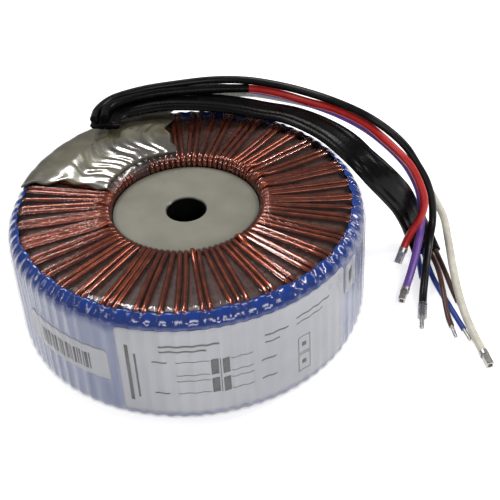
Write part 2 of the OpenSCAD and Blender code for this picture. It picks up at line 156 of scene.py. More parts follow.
@dataclass(frozen=True)
class Finish:
    """A procedural surface: two colours mixed by noise, with its own gloss and relief."""

    name: str
    base: Colour
    second: Colour
    rough: tuple[float, float] = (0.35, 0.5)
    scale: float = 400.0
    metallic: float = 0.0
    bump: float = 0.1
    bump_scale: float = 1500.0
    coat: float = 0.0
    ior: float = 1.5
    grain: Grain = Grain.EVEN

    def build(self) -> bpy.types.Material:
        """Makes the node material.

        Returns:
            The material, with noise-driven colour, roughness and bump.
        """
        tree = Tree(bpy.data.materials.new(self.name))
        tree.add("TexCoord")
        mapping = tree.add("Mapping", {"Vector": tree.place(), "Scale": self.grain.value})
        noise = tree.add("TexNoise", {"Vector": mapping.outputs["Vector"], "Scale": self.scale, "Detail": 4.0})
        colour = tree.ramp(noise.outputs["Fac"], (0.35, self.base), (0.65, self.second))
        rough = tree.add("MapRange", {"Value": noise.outputs["Fac"], "To Min": self.rough[0], "To Max": self.rough[1]})
        fine = tree.add("TexNoise", {"Vector": mapping.outputs["Vector"], "Scale": self.bump_scale})
        bump = tree.add("Bump", {"Height": fine.outputs["Fac"], "Strength": self.bump, "Distance": FINE_RELIEF})
        tree.feed(tree.shader, {
            "Base Color": colour, "Roughness": rough.outputs["Result"], "Normal": bump.outputs["Normal"],
            "Metallic": self.metallic, "Coat Weight": self.coat, "Coat Roughness": COAT_ROUGHNESS, "IOR": self.ior})
        return tree.material


@dataclass(frozen=True)
class BandFinish:
    """Glossy blue film: saturated over the shoulder, pale lavender lower down with lighter painted highlight streaks
    running upright.
    """

    name: str = "band_blue_film"
    deep: Colour = (0.004, 0.036, 0.24)
    pale: Colour = (0.21, 0.25, 0.42)
    painted_streak: Colour = (0.34, 0.38, 0.56)
    fade_low: float = 39.5
    fade_high: float = 43.5
    ragged: float = 6.0

    def build(self) -> bpy.types.Material:
        """Makes the node material.

        Returns:
            The material, whose colour goes from pale to deep with height, along a ragged line.
        """
        # Upright noise mixes in the lighter second colour as painted highlight streaks up the wall.
        tree = Tree(Finish(self.name, self.pale, self.painted_streak, (0.1, 0.22), 260, bump=0.1, bump_scale=500,
                           coat=0.5, grain=Grain.UPRIGHT).build())
        split = tree.add("SeparateXYZ", {"Vector": tree.place()})
        noise = tree.add("TexNoise", {"Vector": tree.nodes["Mapping"].outputs["Vector"], "Scale": 160})
        height = tree.add("Math", {0: noise.outputs["Fac"], 1: self.ragged * MM, 2: split.outputs["Z"]},
                          operation="MULTIPLY_ADD")
        fade = tree.add("MapRange", {"Value": height.outputs["Value"], "From Min": self.fade_low * MM,
                                     "From Max": self.fade_high * MM}, interpolation_type="SMOOTHSTEP")
        tree.mix_base(fade.outputs["Result"], (*self.deep, 1))
        return tree.material


@dataclass(frozen=True)
class FilmFinish:
    """Clear glossy film: see-through face on, milky and bright where it turns away."""

    name: str
    tint: Colour
    least: float = 0.14
    most: float = 0.5
    rough: float = 0.09
    bump: float = 0.25
    bump_scale: float = 420.0

    def build(self) -> bpy.types.Material:
        """Makes the node material.

        Returns:
            The material: a transparent shader mixed with a glossy one by a fresnel law.
        """
        tree = Tree(bpy.data.materials.new(self.name))
        tree.add("TexCoord")
        noise = tree.add("TexNoise", {"Vector": tree.place(), "Scale": self.bump_scale, "Detail": 3})
        dull = tuple(c * 0.7 for c in self.tint)
        colour = tree.ramp(noise.outputs["Fac"], (0.0, dull), (1.0, self.tint))
        rough = tree.add("MapRange", {"Value": noise.outputs["Fac"], "To Min": self.rough * 0.6,
                                      "To Max": self.rough * 1.6})
        bump = tree.add("Bump", {"Height": noise.outputs["Fac"], "Strength": self.bump, "Distance": FILM_RELIEF})
        tree.feed(tree.shader, {"Metallic": 1.0, "Base Color": colour, "Roughness": rough.outputs["Result"],
                                "Normal": bump.outputs["Normal"]})
        fresnel = tree.add("Fresnel", {"IOR": 1.5})
        span = tree.add("MapRange", {"Value": fresnel.outputs["Fac"], "From Min": 0.04, "From Max": 0.8,
                                     "To Min": self.least, "To Max": self.most})
        clear = tree.add("BsdfTransparent")
        mix = tree.add("MixShader", {"Fac": span.outputs["Result"], 1: clear.outputs["BSDF"],
                                     2: tree.shader.outputs["BSDF"]})
        tree.feed(tree.nodes["Material Output"], {"Surface": mix.outputs["Shader"]})
        return tree.material


@dataclass(frozen=True)
class StripedFilmFinish:
    """Dark film in the gaps of the outer winding, with the strands beneath as faint radial stripes."""

    name: str = "inner_dark_film"
    base: Colour = (0.045, 0.032, 0.028)
    second: Colour = (0.085, 0.062, 0.056)
    strand: Colour = (0.17, 0.040, 0.020)
    stripes: float = 205.0

    def build(self) -> bpy.types.Material:
        """Makes the node material.

        Returns:
            The material: a sine of the plan angle mixes the strands' colour into the film's.
        """
        tree = Tree(Finish(self.name, self.base, self.second, (0.2, 0.35), 260).build())
        split = tree.add("SeparateXYZ", {"Vector": tree.place()})
        angle = tree.add("Math", {0: split.outputs["Y"], 1: split.outputs["X"]}, operation="ARCTAN2")
        many = tree.add("Math", {0: angle.outputs["Value"], 1: self.stripes}, operation="MULTIPLY")
        wave = tree.add("Math", {0: many.outputs["Value"]}, operation="SINE")
        share = tree.add("MapRange", {"Value": wave.outputs["Value"], "From Min": -0.2, "To Max": 0.85})
        tree.mix_base(share.outputs["Result"], (*self.strand, 1))
        return tree.material


@dataclass(frozen=True)
class ResinFinish:
    """Grey-green cast resin, with painted shade: black down the bolt hole and a little darker along its outer edge,
    where it meets the windings.
    """

    name: str = "potting_resin"
    base: Colour = (0.205, 0.20, 0.16)
    second: Colour = (0.245, 0.235, 0.19)
    bore: float = 6.55
    edge: float = 22.6
    reach: float = 25.0

    def build(self) -> bpy.types.Material:
        """Makes the node material.

        Returns:
            The material, whose colour depends on the distance from the bolt hole's axis.
        """
        tree = Tree(Finish(self.name, self.base, self.second, (0.25, 0.42), 90, bump=0.1, bump_scale=110).build())
        flat = tree.add("VectorMath", {0: tree.place(), 1: (1, 1, 0)}, operation="MULTIPLY")
        away = tree.add("VectorMath", {0: flat.outputs["Vector"]}, operation="LENGTH")
        span = tree.add("MapRange", {"Value": away.outputs["Value"], "From Max": self.reach * MM})
        # Painted shade: black down the bolt hole, and darker towards the outer edge where the resin meets the
        # windings.
        bore = self.bore / self.reach
        painted_shade_stops = ((bore, 0.01), (bore + 0.012, 1.0), (self.edge / self.reach, 1.0), (0.97, 0.45))
        shade = tree.ramp(span.outputs["Result"], *((place, (value,) * 3) for place, value in painted_shade_stops))
        tree.mix_base(1.0, shade, "MULTIPLY")
        return tree.material


COPPER = Finish("secondary_enamel", (0.17, 0.030, 0.012), (0.30, 0.062, 0.022), (0.18, 0.3), 300, 0.85, 0.05, 700, 0.6)
SLEEVE = Finish("sleeve_rubber", (0.002, 0.002, 0.002), (0.004, 0.004, 0.004), (0.2, 0.36), 200, bump=0.3, ior=1.22)
BLACK_PVC = Finish("black_pvc", (0.003, 0.003, 0.003), (0.006, 0.006, 0.006), (0.22, 0.38), 300, ior=1.3)
RED_PVC = Finish("red_pvc", (0.42, 0.008, 0.008), (0.56, 0.014, 0.012), (0.3, 0.45), 300)
VIOLET_PVC = Finish("violet_pvc", (0.16, 0.065, 0.36), (0.21, 0.09, 0.44), (0.3, 0.45), 300)
WHITE_PVC = Finish("white_pvc", (0.60, 0.56, 0.46), (0.72, 0.68, 0.58), (0.35, 0.5), 300)
BROWN_PVC = Finish("brown_pvc", (0.045, 0.010, 0.005), (0.075, 0.018, 0.009), (0.3, 0.45), 300)
BLUE_PVC = Finish("blue_pvc", (0.006, 0.035, 0.27), (0.012, 0.055, 0.36), (0.3, 0.45), 300)
RESIN = ResinFinish()
TIN = Finish("tinned_metal", (0.36, 0.35, 0.33), (0.55, 0.54, 0.52), (0.25, 0.42), 700, 0.9, 0.3)
LABEL = Finish("label_silver", (0.53, 0.54, 0.58), (0.60, 0.61, 0.65), (0.25, 0.4), 60, bump=0.05)
INK = Finish("label_ink", (0.10, 0.10, 0.11), (0.16, 0.16, 0.17), (0.4, 0.5), 900)
PADDING = Finish("padding_cloth", (0.055, 0.040, 0.028), (0.19, 0.165, 0.075), (0.45, 0.75), 75, bump=0.5,
                 bump_scale=1200)
DARK_FILM = StripedFilmFinish()
STEEL = Finish("core_strip_steel", (0.25, 0.25, 0.26), (0.34, 0.34, 0.35), (0.3, 0.45), 500, 0.9)
YELLOW_FILM = Finish("inner_yellow_film", (0.55, 0.50, 0.30), (0.62, 0.57, 0.38), (0.25, 0.4), 200)
FINE_COPPER = Finish("primary_enamel", (0.22, 0.055, 0.02), (0.32, 0.09, 0.035), (0.3, 0.45), 900, 0.6,
                     grain=Grain.UPRIGHT)
CUTOUT = Finish("cutout_plastic", (0.01, 0.01, 0.011), (0.02, 0.02, 0.021), (0.4, 0.55), 400)
CLEAR_FILM = FilmFinish("clear_overwrap", (0.80, 0.77, 0.78), 0.05, 0.42, 0.075, 0.1, 170.0)
PAD_FILM = FilmFinish("crinkled_film", (0.85, 0.85, 0.82), 0.05, 0.35, 0.16, 0.34, 150.0)
CLEAR_TUBE = FilmFinish("clear_tubing", (0.7, 0.71, 0.72), 0.35, 0.8, 0.15)


# ---------------------------------------------------------------- mesh tools
def placed(name: str, data: bpy.types.ID) -> bpy.types.Object:
    """Puts a new object into the scene, at the origin.

    Args:
        name: its name.
        data: the mesh, curve, lamp or camera that it holds.

    Returns:
        The object.
    """
    obj = bpy.data.objects.new(name, data)
    bpy.context.scene.collection.objects.link(obj)
    return obj


def put(name: str, points: np.ndarray, quads: np.ndarray, material: bpy.types.Material,
        caps: list[list[int]] | None = None) -> bpy.types.Object:
    """Turns arrays into a smooth mesh object.

    Args:
        name: the piece's name.
        points: n rows of x, y, z in millimetres.
        quads: m rows of four corner numbers.
        material: its finish.
        caps: further faces, of any number of corners.

    Returns:
        The object, at the origin.
    """
    mesh = bpy.data.meshes.new(name)
    mesh.from_pydata((points.reshape(-1, 3) * MM).tolist(), [], quads.reshape(-1, 4).tolist() + (caps or []))
    mesh.validate()
    mesh.polygons.foreach_set("use_smooth", np.ones(len(mesh.polygons), dtype=bool))
    mesh.materials.append(material)
    mesh.update()
    return placed(name, mesh)


def tube(name: str, points: np.ndarray, radius: float, material: bpy.types.Material) -> bpy.types.Object:
    """A round tube with closed ends, as a curve of one open spline.

    Args:
        name: the piece's name.
        points: its centre line, in millimetres.
        radius: in millimetres.
        material: its finish.

    Returns:
        The object, at the origin.
    """
    curve = bpy.data.curves.new(name, "CURVE")
    curve.dimensions = "3D"
    spline = curve.splines.new("POLY")
    spline.points.add(len(points) - 1)
    spline.points.foreach_set("co", np.hstack([points * MM, np.ones((len(points), 1))]).ravel())
    spline.use_smooth = True
    curve.bevel_depth = radius * MM
    curve.bevel_resolution = 5
    curve.use_fill_caps = True
    curve.materials.append(material)
    return placed(name, curve)


def grid_quads(rows: int, cols: int, wrap_rows: bool = False, wrap_cols: bool = False) -> np.ndarray:
    """Corner numbers of a grid's cells; point i, j has number i x cols + j.

    Args:
        rows: lines of the grid.
        cols: points in each line.
        wrap_rows: whether the last line joins the first.
        wrap_cols: whether each line's last point joins its first.

    Returns:
        Rows of four corner numbers.
    """
    i = np.arange(rows if wrap_rows else rows - 1)[:, None]
    j = np.arange(cols if wrap_cols else cols - 1)[None, :]
    i1, j1 = (i + 1) % rows, (j + 1) % cols
    return np.stack([i * cols + j, i1 * cols + j, i1 * cols + j1, i * cols + j1], -1).reshape(-1, 4)


def outward(obj: bpy.types.Object) -> bpy.types.Object:
    """Recalculates the normals of a closed mesh so that they point out.

    Args:
        obj: the mesh object.

    Returns:
        The same object.
    """
    bm = bmesh.new()
    bm.from_mesh(obj.data)
    bmesh.ops.recalc_face_normals(bm, faces=bm.faces)
    bm.to_mesh(obj.data)
    bm.free()
    return obj


def slab(name: str, outer: np.ndarray, inner: np.ndarray, material: bpy.types.Material,
         ring: bool = False) -> bpy.types.Object:
    """A closed sheet between two grids of the same shape.

    Args:
        name: the piece's name.
        outer: rows x columns x 3 points of the outer face.
        inner: the same of the inner face.
        material: its finish.
        ring: whether the last row joins the first.

    Returns:
        The closed object, faces outwards.
    """
    rows, cols = outer.shape[:2]
    n = rows * cols
    quads = grid_quads(rows, cols, wrap_rows=ring)
    parts = [quads, quads[:, ::-1] + n]
    ids = np.arange(n).reshape(rows, cols)
    edges = [ids[:, 0], ids[:, -1]] if ring else [ids[:, 0], ids[:, -1], ids[0], ids[-1]]
    for edge in edges:
        a = edge if ring else edge[:-1]
        b = np.roll(edge, -1) if ring else edge[1:]
        parts.append(np.stack([a, b, b + n, a + n], -1))
    points = np.concatenate([outer.reshape(-1, 3), inner.reshape(-1, 3)])
    return outward(put(name, points, np.concatenate(parts), material))


def smooth_route(route: Sequence[Sequence[float]], steps: int) -> np.ndarray:
    """Catmull-Rom curve through the route's points, whose ends are mirrored once outwards.

    Args:
        route: the points.
        steps: samples in each stretch.

    Returns:
        The curve's points.
    """
    p = np.array(route, float)
    q = np.vstack([2 * p[0] - p[1], p, 2 * p[-1] - p[-2]])
    a, b, c, d = (q[k:len(p) - 1 + k, None, :] for k in range(4))
    t = (np.arange(steps) / steps)[None, :, None]
    curve = 0.5 * (2 * b + (c - a) * t + (2 * a - 5 * b + 4 * c - d) * t * t + (3 * b - a - 3 * c + d) * t ** 3)
    return np.vstack([curve.reshape(-1, 3), p[-1]])


def polar(radius: float | np.ndarray, degrees: np.ndarray, z: np.ndarray) -> np.ndarray:
    """Points at a radius and plan angle round the ring's axis, at height z."""
    a = np.radians(degrees)
    return np.stack([radius * np.cos(a), radius * np.sin(a), z], -1)


def unit(v: np.ndarray) -> np.ndarray:
    """Each vector divided by its length."""
    return v / np.maximum(np.linalg.norm(v, axis=-1, keepdims=True), 1e-12)


def ripple(*waves: tuple[np.ndarray, float, float]) -> np.ndarray:
    """Sum of sines, each given as its phase, how often it repeats and how high it is."""
    return sum(h * np.sin(k * phase + 1.7 * k) for phase, k, h in waves)


def dressed(piece: bpy.types.Object, slot: str, *nodes: str) -> bpy.types.Object:
    """Puts a finished piece on the root body.

    Args:
        piece: the piece.
        slot: the slot it belongs to; not used.
        nodes: the CAD nodes it stands in for.

    Returns:
        The same piece.
    """
    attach(piece, "root")
    if nodes:
        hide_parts(*nodes)
    LOG.info("piece %s", piece.name)
    return piece


# ---------------------------------------------------------------- the ring
@dataclass
class RingSizes:
    """Sizes of the wound ring that its coverings share."""

    wall: float = 58.1
    height: float = 44.8
    bore: float = 24.1
    shoulder_x: float = 52.4
    shoulder_z: float = 38.2
    foot_z: float = 6.0
    wire: float = 1.8
    rim_r: float = 56.7
    bore_r: float = 25.35
    low_z: float = 1.55
    top_z: float = 43.25
    turns: int = 41
    start: float = 136.0
    pitch: float = 4.2195
    close_pitch: float = 2.35
    ridges: int = 85
    groups: tuple[int, ...] = (2, 2, 3, 2, 1, 2, 2, 3, 2, 2) * 4
    hooked: tuple[int, ...] = (10, 16, 33, 41, 56, 59, 62)

    def shifts(self) -> np.ndarray:
        """Works out how far each strand is drawn along the rim, to sit close to its group.

        Returns:
            One angle a strand, in degrees: its place in its group times what the pitch closes up by.
        """
        sizes = np.array(self.groups)
        sizes = sizes[np.cumsum(sizes) <= 2 * self.turns + 2]
        place = np.concatenate([np.arange(n) - (n - 1) / 2 for n in sizes] + [np.zeros(2 * self.turns + 2)])
        return (place * (self.close_pitch - self.pitch))[:2 * self.turns + 2]

    def rim_angles(self) -> np.ndarray:
        """Plan angle of every strand at the rim, in degrees."""
        i = np.arange(2 * self.turns + 2)
        return self.start + i * self.pitch + self.shifts()

    def bore_angles(self) -> np.ndarray:
        """Plan angle of every strand in the bore, in degrees."""
        return self.start + np.arange(2 * self.turns + 2) * self.pitch

    def ridge(self, theta: np.ndarray, depth: float) -> np.ndarray:
        """Evenly spaced ridges down the wall, each a raised cosine with a wandering phase.

        Args:
            theta: plan angles in degrees.
            depth: how deep the grooves between them are.

        Returns:
            Heights from -depth to 0 at each angle.
        """
        a = np.radians(theta)
        phase = self.ridges * a + 0.7 * np.sin(5 * a) + 0.5 * np.sin(11 * a + 2)
        tall = 0.75 + 0.25 * np.sin(9 * a + 1) * np.sin(4 * a)
        return -depth * tall * (0.5 - 0.5 * np.cos(phase)) ** 0.8

    def relief(self, theta: np.ndarray, share: float, radius: float, dip: float) -> np.ndarray:
        """Height of a film drawn over the strands: a round crest on each, a shallow sag between.

        Args:
            theta: plan angles in degrees.
            share: 0 in the bore to 1 at the rim.
            radius: where the film is, to turn degrees into lengths.
            dip: deepest sag between strands.

        Returns:
            Heights from -dip to 0 at each angle.
        """
        lines = np.sort(self.bore_angles() * (1 - share) + self.rim_angles() * share)
        lines = np.concatenate([lines - 360, lines, lines + 360])
        k = np.clip(np.searchsorted(lines, theta), 1, len(lines) - 1)
        near = np.minimum(np.abs(theta - lines[k - 1]), np.abs(lines[k] - theta)) * math.pi / 180 * radius
        crest = np.sqrt(np.maximum(1.15 ** 2 - near ** 2, 0)) - 1.15
        return np.maximum(crest, -dip)


@dataclass
class Secondaries:
    """The two continuous copper windings, each one wire swept turn after turn round the ring."""

    ring: RingSizes
    sides: int = 12
    crown: float = 0.28
    hook: float = 1.1
    lean: float = 0.35

    def path(self, which: int) -> tuple[np.ndarray, ...]:
        """Centre line and the two cross directions of one wire.

        A half turn goes in the plane through its two ends: a quarter ellipse over the rim,
        a straight run with a small crown, and a quarter ellipse into the bore; the lower half
        comes back the same way to the next turn.

        Args:
            which: 0 or 1.

        Returns:
            Points, sideways directions and outward directions.
        """
        r = self.ring
        i = 2 * np.arange(r.turns) + which
        rim, bore = r.rim_angles(), r.bore_angles()
        a, b, c = (polar(radius, angle, 0 * angle)[:, None, :]
                   for radius, angle in ((r.rim_r, rim[i]), (r.bore_r, bore[i]), (r.rim_r, rim[i + 2])))
        rise = (0.5 + 0.5 * np.sin(12.9 * i + 3))[:, None, None] * self.crown
        hook = np.isin(i, r.hooked)[:, None, None] * self.hook
        wander = np.sin(7.3 * i + 1)[:, None, None] * self.lean

        def half(p: np.ndarray, q: np.ndarray, z: float, s: int, start: tuple[float, float],
                 stop: tuple[float, float], n: int) -> list[np.ndarray]:
            """One half of every turn at once.

            Args:
                p: where it starts.
                q: where it ends.
                z: height of its straight run.
                s: 1 on top and -1 below.
                start: half axes of the first quarter ellipse, along and up.
                stop: the same of the second.
                n: points in each quarter.

            Returns:
                Points, sideways directions and outward directions.
            """
            d = unit(q - p)
            up = np.array([0, 0, s])
            side = np.cross(d, up)
            t1 = np.radians(np.linspace(0, 90, n))[None, :, None]
            t2 = t1[:, ::-1]
            m = np.linspace(0.12, 0.88, 6)[None, :, None]
            span = np.linalg.norm(q - p, axis=-1, keepdims=True)
            x = np.concatenate([start[0] * (1 - np.cos(t1)) + 0 * span,
                                start[0] + m * (span - start[0] - stop[0]),
                                span - stop[0] * (1 - np.cos(t2))], 1)
            h = np.concatenate([-start[1] * (1 - np.sin(t1)) + 0 * span, 0 * m * span,
                                -stop[1] * (1 - np.sin(t2)) + 0 * span], 1)
            share = x / span
            on_top = s > 0
            h = h - (rise if on_top else 0) * np.sin(math.pi * share) ** 0.5 * 0.8
            h = h + hook * np.exp(-((share - 0.93) / 0.07) ** 2) * on_top
            lean = wander * np.sin(math.pi * np.clip(share, 0, 1)) * on_top
            out = np.concatenate([-np.cos(t1) * d + np.sin(t1) * up, 0 * m * d + up,
                                  np.cos(t2) * d + np.sin(t2) * up], 1)
            pts = p + d * x + side * lean + np.array([0, 0, 1.0]) * (z + s * h)
            return [pts, side + 0 * pts, out]

        top = half(a, b, r.top_z, 1, (4.3, 5.05), (2.1, 1.85), 6)
        low = half(b, c, r.low_z, -1, (1.8, 1.8), (3.7, 4.4), 4)
        return tuple(np.concatenate(pair, 1).reshape(-1, 3) for pair in zip(top, low))

    def build(self, which: int, name: str, material: bpy.types.Material) -> bpy.types.Object:
        """Sweeps a circle along the wire's path; corner k of a ring is centre + r (cos k side + sin k out).

        Args:
            which: 0 or 1.
            name: the piece's name.
            material: its finish.

        Returns:
            The closed wire, its ends fanned to their middle points.
        """
        pts, side, out = self.path(which)
        n, sides = len(pts), self.sides
        k = np.linspace(0, 2 * math.pi, sides, endpoint=False)[None, :, None]
        rings = pts[:, None] + self.ring.wire / 2 * (np.cos(k) * side[:, None] + np.sin(k) * out[:, None])
        j = np.arange(sides)
        j1 = (j + 1) % sides
        last, middle = (n - 1) * sides, 0 * j + n * sides
        caps = np.concatenate([np.stack([j, j1, middle], -1), np.stack([last + j1, last + j, middle + 1], -1)])
        points = np.concatenate([rings.reshape(-1, 3), pts[[0, -1]]])
        return outward(put(name, points, grid_quads(n, sides, wrap_cols=True), material, caps.tolist()))


@dataclass
class Coverings:
    """Blue band, labels and clear film over the windings.

    Each pair of lifts is how far a sheet's outer and inner faces stand off the wall. A corner of the
    film's section is its centre, its two radii and the angle that it starts at.
    """

    ring: RingSizes
    around: int = 1440
    inset: float = 0.15
    round_x: float = 5.6
    round_z: float = 6.3
    label_r: float = 57.92
    label_step: float = 0.45
    label_ridge: float = 0.4
    paper_lift: tuple[float, float] = (0.32, 0.22)
    ink_lift: tuple[float, float] = (0.39, 0.33)
    band_radii: tuple[float, float, float] = (5.7, 5.5, 6.15)
    band_edges: tuple[float, float] = (-62.0, 66.0)
    band_thick: float = 0.12
    band_ridge: float = 0.45
    film_ridge: float = 0.42
    wrinkle: float = 0.022
    corners: tuple[tuple[float, ...], ...] = (
        (52.4, 38.2, 6.38, 6.25, 0), (27.5, 41.4, 3.4, 3.0, 90), (27.5, 3.4, 3.4, 3.35, 180),
        (52.4, 6.0, 6.38, 5.9, 270))

    def wall_point(self, theta: np.ndarray, z: np.ndarray, lift: float) -> np.ndarray:
        """A point on the ridged wall and its rounds.

        The radius is the wall's; above the shoulder line and below the foot line it follows an ellipse.

        Args:
            theta: plan angles in degrees.
            z: heights in millimetres, the same shape.
            lift: distance out from the band's own wall.

        Returns:
            Points of the same shape, with x, y, z last.
        """
        r = self.ring
        up = np.clip((z - r.shoulder_z) / self.round_z, 0, 1)
        down = np.clip((r.foot_z - z) / self.round_z, 0, 1)
        round_in = self.round_x * (1 - np.sqrt(1 - np.minimum(np.maximum(up, down), 0.999) ** 2))
        return polar(r.wall - self.inset + lift + r.ridge(theta, self.label_ridge) - round_in, theta, z)

    def band(self, material: bpy.types.Material) -> bpy.types.Object:
        """The blue film, up the wall and over both rounds, its upper edge scalloped by the strands.

        Args:
            material: its finish.

        Returns:
            The closed skin.
        """
        r = self.ring
        theta = np.linspace(0, 360, self.around, endpoint=False)[:, None]
        a = np.radians(theta)
        low, high = self.band_edges
        edge = high - 6 * r.relief(theta, 0.97, 55, 0.6) + 2.5 * np.sin(5 * a + 1) + 1.5 * np.sin(23 * a)
        v = np.linspace(0, 1, 10)[None, :]
        shape = r.ridge(theta, self.band_ridge)
        ang_up, ang_low = np.radians(edge * v), np.radians(low * (1 - v) + 0 * theta)
        mid = np.linspace(0.1, 0.9, 5)[None, :] * (r.shoulder_z - r.foot_z) + r.foot_z + 0 * theta
        across, below, above = self.band_radii

        def skin(t: float) -> np.ndarray:
            """One face of the skin.

            Args:
                t: how much further in than the outer face it is.

            Returns:
                Its points, a row for each plan angle.
            """
            rad = r.shoulder_x + (across - t) * np.concatenate([np.cos(ang_low), 1 + 0 * mid, np.cos(ang_up)], 1)
            z = np.concatenate([r.foot_z + (below - t) * np.sin(ang_low), mid,
                                r.shoulder_z + (above - t + 0.6 * shape) * np.sin(ang_up)], 1)
            return polar(rad + shape, theta, z)

        return slab("blue_band_film", skin(0), skin(self.band_thick), material, ring=True)

    def label(self, name: str, start: float, width: float, low: float, high: float,
              material: bpy.types.Material, corner: float = 1.2) -> bpy.types.Object:
        """A paper label that follows the ridged wall; its end columns are shortened to round its corners.

        Args:
            name: the piece's name.
            start: plan angle of its left edge.
            width: its length round the wall.
            low: height of its lower edge.
            high: height of its upper edge.
            material: its finish.
            corner: radius of its corners.

        Returns:
            The closed sheet.
        """
        u = np.linspace(0, 1, int(width / self.label_step))[:, None]
        v = np.linspace(0, 1, 24)[None, :]
        end = np.minimum(u, 1 - u) * width
        cut = corner - np.sqrt(np.maximum(corner ** 2 - np.maximum(corner - end, 0) ** 2, 0))
        theta = start + np.degrees(u * width / self.label_r) + 0 * v
        z = (low + cut) + v * (high - low - 2 * cut)
        outer, inner = (self.wall_point(theta, z, lift) for lift in self.paper_lift)
        return slab(name, outer, inner, material)

    def print_on(self, name: str, start: float, marks: list[Mark], material: bpy.types.Material) -> bpy.types.Object:
        """Flat ink marks on a label, cut into short columns so that they follow the ridges.

        Args:
            name: the piece's name.
            start: plan angle of the label's left edge.
            marks: left, right, low and high of each, in millimetres along the label and up.
            material: the ink.

        Returns:
            One object holding every mark.
        """
        points, quads, count = [], [], 0
        for left, right, low, high in marks:
            cols = max(2, int((right - left) / 0.5) + 1)
            u, v = np.linspace(left, right, cols)[:, None], np.linspace(low, high, 3)[None, :]
            theta = start + np.degrees(u / self.label_r) + 0 * v
            points += [self.wall_point(theta, v + 0 * u, lift).reshape(-1, 3) for lift in self.ink_lift]
            n = cols * 3
            face = grid_quads(cols, 3)
            ids = np.arange(n).reshape(cols, 3)
            rim = np.concatenate([ids[:, 0], ids[-1, 1:], ids[::-1, -1][1:], ids[0, ::-1][1:-1]])
            nxt = np.roll(rim, -1)
            side = np.stack([rim, nxt, nxt + n, rim + n], -1)
            quads.append(np.concatenate([face, face[:, ::-1] + n, side[:, ::-1]]) + count)
            count += 2 * n
        return outward(put(name, np.concatenate(points), np.concatenate(quads), material))

    def film(self, material: bpy.types.Material) -> bpy.types.Object:
        """The clear overwrap: one closed skin round the whole section.

        At each plan angle the section is a rounded box; every point is moved along its outward
        direction by the strands' relief there and by faint wrinkles along the wrapping direction.

        Args:
            material: its finish.

        Returns:
            The closed skin.
        """
        r = self.ring
        theta = np.linspace(0, 360, self.around, endpoint=False)
        a = np.radians(theta)
        arcs = []
        for cx, cz, rx, rz, first in self.corners:
            t = np.radians(np.linspace(first, first + 90, 7))
            arcs.append(np.stack([cx + rx * np.cos(t), cz + rz * np.sin(t), np.cos(t), np.sin(t)], -1))
        runs = []
        for arc, following, between in zip(arcs, arcs[1:] + arcs[:1], (12, 6, 12, 6)):
            t = np.linspace(0, 1, between + 2)[1:-1, None]
            runs += [arc, arc[-1] * (1 - t) + following[0] * t]
        section = np.concatenate(runs)
        columns = []
        for x, z, nx, nz in section:
            share = float(np.clip((x - r.bore) / (r.rim_r - r.bore), 0, 1))
            dip = (0.25 + 0.5 * share) * (1.0 if z > r.height / 2 else 0.4)
            d = (r.relief(theta, share, max(x, 25), dip) * 0.8 * max(nz, 0.0)
                 + r.ridge(theta, self.film_ridge) * max(nx, 0.0)
                 + r.relief(theta, 0, 25, 0.3) * max(-nx, 0.0)
                 + self.wrinkle * ripple((a, 97, 1.0), (a + 0.02 * x, 61, 1.0), (a - 0.015 * z, 173, 0.6)) - 0.06)
            level = z + nz * d
            columns.append(polar(x + nx * d, theta, np.maximum(level, 0.0) if nz < -0.5 else level))
        grid = np.stack(columns, 1)
        return outward(put("clear_overwrap_film", grid, grid_quads(*grid.shape[:2], True, True), material))


@dataclass
class Padding:
    """Folded padding over the lead joints, with crinkled film drawn over it."""

    ring: RingSizes
    first: float = 98.0
    last: float = 164.0
    thick: float = 3.1
    inner_x: float = 27.45
    run: float = 24.95
    arc: float = 8.06
    bend_r: float = 6.6

    def grid(self, base: float, share: float, crinkle: float, over: float = 0.0) -> np.ndarray:
        """Points over the ring's upper surface, from the inner edge to the wall.

        A point goes out from the surface by base plus a swell that rises towards the rim and
        dies at the ends, and by folds whose ridges run radially and slantwise.

        Args:
            base: least distance from the surface.
            share: how much of the padding's thickness the swell takes.
            crinkle: height of the folds.
            over: how far the sheet goes past the inner edge.

        Returns:
            60 x 110 points.
        """
        r, run = self.ring, self.run
        u = np.linspace(0, 1, 60)[:, None]
        v = np.linspace(0, 1, 110)[None, :]
        s = u * (run + self.arc + over) - over
        a = math.pi / 2 - np.clip((s - run) / self.bend_r, 0, None)
        flat = s < run
        x = np.where(flat, self.inner_x + s, r.shoulder_x + self.bend_r * np.cos(a))
        z = np.where(flat, r.height - np.minimum(s, 0) ** 2 / 6, r.shoulder_z + self.bend_r * np.sin(a))
        nx, nz = np.where(flat, 0, np.cos(a)), np.where(flat, 1, np.sin(a))
        swell = (np.maximum(0.15, np.sin(math.pi * v) ** 0.6)
                 * np.where(u < 0.55, 0.28 + 1.309 * u, 1 - 0.85 * (u - 0.55) / 0.45))
        bend = v + 0.08 * np.sin(5 * u + 3) + 0.03 * np.sin(13 * u)
        fold = crinkle * (np.abs(np.sin(23 * bend + 1.5 * u)) + 0.8 * np.abs(np.sin(41 * bend - 4 * u + 1)) * (1 - u)
                          + 0.5 * np.sin(67 * bend + 9 * u) * (1 - 0.7 * u) - 0.7)
        fade = np.minimum(1, 8 * np.minimum(u, 1 - u)) * np.minimum(1, 8 * np.minimum(v, 1 - v))
        d = base + share * self.thick * swell + fold * fade
        ragged = (2 * v - 1) * (1.6 * np.sin(9 * u + 1) + 1.1 * np.sin(23 * u)) + (2 * v - 1) * 2.5 * (u - 0.5)
        return polar(x + nx * d, self.first + (self.last - self.first) * v + ragged, z + nz * d)

    def build(self, cloth: bpy.types.Material, film: bpy.types.Material) -> list[bpy.types.Object]:
        """Makes the padded cloth and the film over it.

        Args:
            cloth: the padding's finish.
            film: the film's finish.

        Returns:
            The cloth and the film, both closed.
        """
        pad = slab("joint_padding", self.grid(0.12, 0.8, 0.1), self.grid(-0.2, 0, 0), cloth)
        skin = slab("padding_film", self.grid(0.5, 0.85, 0.22, 3.2), self.grid(0.43, 0.85, 0.22, 3.2), film)
        return [pad, skin]


